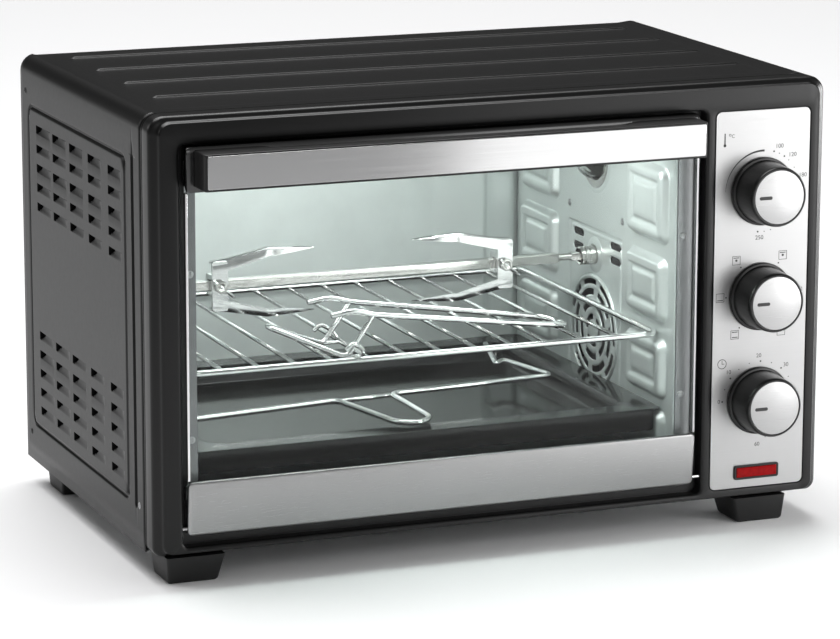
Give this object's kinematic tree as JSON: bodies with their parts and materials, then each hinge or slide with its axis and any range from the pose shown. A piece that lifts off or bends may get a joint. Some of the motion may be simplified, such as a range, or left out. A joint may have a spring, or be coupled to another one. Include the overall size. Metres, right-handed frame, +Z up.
{
  "type": "rotisserie oven",
  "caption": "Countertop oven with a drop-down glass door, motor-driven spit with forks, convection fan, wire rack, baking tray, lifting tools and a dial control panel.",
  "frame": {"origin": "centre of the bounding box on the plane of the feet", "axes": "+Z up, +X to the right as seen from the front, the door faces -Y"},
  "size_m": [0.51, 0.344, 0.3255],
  "materials": {
    "black_paint": "satin black powder coat",
    "steel": "brushed stainless",
    "galvanised": "aluminised sheet",
    "chrome": "bright chrome plate",
    "black_plastic": "fine matt",
    "enamel": "gloss black enamel",
    "glass": "clear tempered",
    "lamp_glass": "ribbed clear",
    "red_lens": "translucent red",
    "motor": "plain zinc plated",
    "ceramic": "matt steatite"
  },
  "bodies": {
    "housing": {"outer_wrap": "black_paint", "bottom_plate": "galvanised", "rear_cover": "galvanised", "cord_gland": "black_plastic", "front_bezel": "black_paint", "cavity_front_frame": "galvanised", "cavity_floor": "galvanised", "cavity_ceiling": "galvanised", "cavity_back_wall": "galvanised", "cavity_left_wall": "galvanised", "cavity_right_wall": "galvanised", "heater_lower": "motor", "heater_upper": "motor", "lamp_holder": "ceramic", "lamp_glass": "lamp_glass", "control_fascia": "steel", "control_bracket": "galvanised", "thermostat_body": "ceramic", "selector_body": "black_plastic", "timer_body": "steel", "pilot_lamp_frame": "black_plastic", "pilot_lamp_lens": "red_lens", "foot_front_left": "black_plastic", "foot_front_right": "black_plastic", "foot_rear_left": "black_plastic", "foot_rear_right": "black_plastic", "spit_seat": "steel", "spit_motor": "motor", "fan_motor": "motor"},
    "door": {"door_top_rail": "steel", "door_bottom_rail": "steel", "door_glass": "glass", "hinge_block_left": "motor", "hinge_block_right": "motor", "hinge_pin_left": "chrome", "hinge_pin_right": "chrome", "handle_bar": "black_plastic", "handle_fascia": "steel"},
    "temperature_control": {"knob_temperature": "black_plastic", "knob_cap_temperature": "steel", "shaft_temperature": "steel"},
    "function_control": {"knob_function": "black_plastic", "knob_cap_function": "steel", "shaft_function": "steel"},
    "timer_control": {"knob_timer": "black_plastic", "knob_cap_timer": "steel", "shaft_timer": "steel"},
    "spit": {"spit_rod": "chrome", "drive_socket": "steel"},
    "left_fork": {"fork_left": "chrome"},
    "left_thumbscrew": {"thumbscrew_left": "chrome"},
    "right_fork": {"fork_right": "chrome"},
    "right_thumbscrew": {"thumbscrew_right": "chrome"},
    "fan": {"fan_wheel": "steel"},
    "rack": {"wire_rack": "chrome"},
    "tray": {"baking_tray": "enamel"},
    "tray_tool": {"tray_handle": "chrome"},
    "spit_tool": {"spit_lifter": "chrome"}
  },
  "joints": [
    {"name": "door_hinge", "type": "hinge", "parent": "housing", "child": "door", "pos_m": [0, -0.14115, 0.038], "axis": [1, 0, 0], "range_deg": [0, 90]},
    {"name": "temperature_turn", "type": "hinge", "parent": "housing", "child": "temperature_control", "pos_m": [0.204, -0.145, 0.2455], "axis": [0, 1, 0], "range_deg": [0, 285]},
    {"name": "function_turn", "type": "hinge", "parent": "housing", "child": "function_control", "pos_m": [0.204, -0.145, 0.1685], "axis": [0, 1, 0], "range_deg": [0, 315]},
    {"name": "timer_turn", "type": "hinge", "parent": "housing", "child": "timer_control", "pos_m": [0.204, -0.145, 0.0915], "axis": [0, 1, 0], "range_deg": [0, 270]},
    {"name": "spit_turn", "type": "hinge", "parent": "housing", "child": "spit", "pos_m": [-0.055, 0.007, 0.175], "axis": [1, 0, 0], "continuous": true},
    {"name": "left_fork_slide", "type": "slide", "parent": "spit", "child": "left_fork", "axis": [1, 0, 0], "range_m": [-0.03, 0.03]},
    {"name": "right_fork_slide", "type": "slide", "parent": "spit", "child": "right_fork", "axis": [1, 0, 0], "range_m": [-0.03, 0.03]},
    {"name": "left_screw_turn", "type": "hinge", "parent": "left_fork", "child": "left_thumbscrew", "pos_m": [-0.1575, -0.003, 0.175], "axis": [0, -1, 0], "range_deg": [0, 360]},
    {"name": "right_screw_turn", "type": "hinge", "parent": "right_fork", "child": "right_thumbscrew", "pos_m": [0.0655, -0.003, 0.175], "axis": [0, -1, 0], "range_deg": [0, 360]},
    {"name": "fan_spin", "type": "hinge", "parent": "housing", "child": "fan", "pos_m": [0.151, 0.007, 0.117], "axis": [1, 0, 0], "continuous": true},
    {"name": "rack_slide", "type": "slide", "parent": "housing", "child": "rack", "axis": [0, -1, 0], "range_m": [0, 0.02]},
    {"name": "tray_slide", "type": "slide", "parent": "housing", "child": "tray", "axis": [0, -1, 0], "range_m": [0, 0.018]},
    {"name": "tray_tool_lift", "type": "slide", "parent": "rack", "child": "tray_tool", "axis": [0, 0, 1], "range_m": [0, 0.05]},
    {"name": "spit_tool_lift", "type": "slide", "parent": "tray", "child": "spit_tool", "axis": [0, 0, 1], "range_m": [0, 0.035]}
  ]
}
